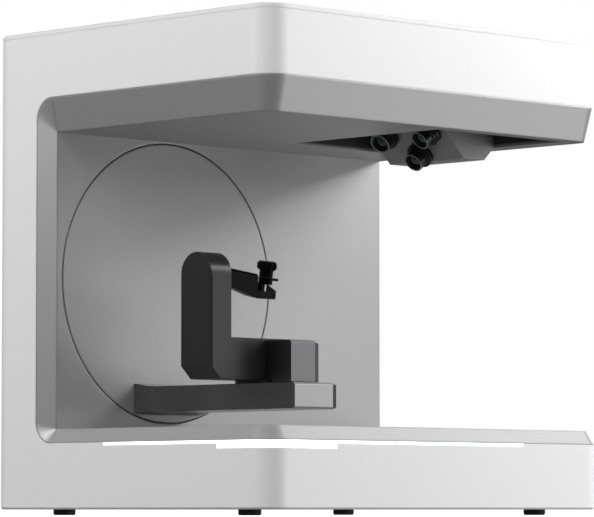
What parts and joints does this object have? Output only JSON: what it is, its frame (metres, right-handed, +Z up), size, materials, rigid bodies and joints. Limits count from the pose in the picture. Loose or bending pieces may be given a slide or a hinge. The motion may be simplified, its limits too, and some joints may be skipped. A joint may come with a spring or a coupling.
{
  "type": "desktop 3d scanner",
  "caption": "C-shaped cabinet around an open bay, with a tilting arm that carries a turntable, bracket and screw clamp, and a head whose slanted module holds cameras and a projector.",
  "frame": {"origin": "middle of the footprint, on the plane the feet stand on", "axes": "+Z up, the bay's open front towards -Y, the cabinet's spine towards +Y, the tilting arm left of the middle at -X"},
  "size_m": [0.335, 0.282, 0.34],
  "materials": {
    "white_shell": "satin white, fine grain",
    "grey_liner": "satin light grey",
    "light_diffuser": "milky white diffuser",
    "black_anodised": "satin black anodised",
    "black_plastic": "moulded black",
    "foot_rubber": "black rubber",
    "sheet_steel": "galvanised sheet",
    "bright_steel": "bright turned steel",
    "zinc_steel": "zinc plated",
    "motor_black": "black lacquer",
    "brass": "plain brass",
    "board_green": "solder-masked board",
    "lens_glass": "coated lens"
  },
  "bodies": {
    "cabinet": {"outer_shell": "white_shell", "top_cover": "white_shell", "rear_panel": "white_shell", "rear_panel_screws": "zinc_steel", "bottom_plate": "sheet_steel", "rubber_feet": "foot_rubber", "foot_screws": "zinc_steel", "deck_liner": "grey_liner", "head_liner": "grey_liner", "wall_liner": "grey_liner", "light_strip": "light_diffuser", "light_boards": "board_green", "spine_frame": "sheet_steel", "head_frame": "sheet_steel", "recess_tray": "black_plastic", "scan_pod": "grey_liner", "pod_screws": "zinc_steel", "front_camera_barrel": "black_anodised", "rear_camera_barrel": "black_anodised", "projector_barrel": "black_anodised", "lens_glasses": "lens_glass", "sensor_boards": "board_green", "main_board": "board_green", "board_standoffs": "brass", "power_supply": "sheet_steel", "power_inlet": "black_plastic", "inlet_pins": "brass", "switch_frame": "black_plastic", "data_port": "sheet_steel", "fan_frame": "black_plastic", "bearing_housing": "bright_steel", "bearing_outer_ring": "bright_steel", "bearing_balls": "bright_steel", "tilt_motor": "motor_black"},
    "swing": {"bearing_inner_ring": "bright_steel", "swing_hub": "bright_steel", "bearing_nut": "bright_steel", "swing_disc": "grey_liner", "disc_segment": "grey_liner", "ring_gear": "bright_steel", "hub_screws": "zinc_steel", "swing_arm": "black_anodised", "arm_bolts": "zinc_steel", "arm_cover": "black_anodised", "arm_screws": "zinc_steel", "turntable_bush": "brass", "turntable_motor": "bright_steel"},
    "tilt_drive": {"tilt_pinion": "bright_steel"},
    "turntable": {"turntable_hub": "black_anodised", "turntable_gear": "brass", "mount_block": "black_anodised", "holder_bracket": "black_anodised", "block_screws": "zinc_steel"},
    "turntable_drive": {"turntable_pinion": "brass"},
    "clamp": {"clamp_arm": "black_anodised", "clamp_stud": "bright_steel"},
    "jaw": {"clamp_jaw": "black_anodised"},
    "knob": {"clamp_knob": "black_anodised"},
    "fan": {"fan_rotor": "black_plastic"},
    "rocker": {"power_rocker": "black_plastic"}
  },
  "joints": [
    {"name": "swing_tilt", "type": "hinge", "parent": "cabinet", "child": "swing", "pos_m": [-0.056, 0.0975, 0.166], "axis": [0, 1, 0], "range_deg": [-120, 120]},
    {"name": "tilt_pinion_spin", "type": "hinge", "parent": "cabinet", "child": "tilt_drive", "pos_m": [-0.002, 0.0855, 0.166], "axis": [0, 1, 0], "range_deg": [-605, 605]},
    {"name": "turntable_spin", "type": "hinge", "parent": "swing", "child": "turntable", "pos_m": [-0.056, -0.0223, 0.092], "axis": [0, 0, 1], "continuous": true},
    {"name": "turntable_pinion_spin", "type": "hinge", "parent": "swing", "child": "turntable_drive", "pos_m": [-0.056, -0.0028, 0.0785], "axis": [0, 0, 1], "continuous": true},
    {"name": "clamp_swivel", "type": "hinge", "parent": "turntable", "child": "clamp", "pos_m": [-0.112, -0.0223, 0.166], "axis": [1, 0, 0], "range_deg": [-39, 21]},
    {"name": "jaw_slide", "type": "slide", "parent": "clamp", "child": "jaw", "axis": [0, 0.1633, -0.9866], "range_m": [0, 0.0035]},
    {"name": "knob_turn", "type": "hinge", "parent": "jaw", "child": "knob", "pos_m": [-0.055, -0.02328, 0.17192], "axis": [0, 0.1633, -0.9866], "range_deg": [0, 2520]},
    {"name": "fan_spin", "type": "hinge", "parent": "cabinet", "child": "fan", "pos_m": [0.07, 0.132, 0.268], "axis": [0, 1, 0], "continuous": true},
    {"name": "rocker_tip", "type": "hinge", "parent": "cabinet", "child": "rocker", "pos_m": [0.074, 0.1355, 0.042], "axis": [1, 0, 0], "range_deg": [0, 16]}
  ],
  "couplings": [
    {"joint": "tilt_pinion_spin", "follows": "swing_tilt", "ratio": -5},
    {"joint": "turntable_pinion_spin", "follows": "turntable_spin", "ratio": -3.3333},
    {"joint": "knob_turn", "follows": "jaw_slide", "rad_per_m": 12566}
  ]
}
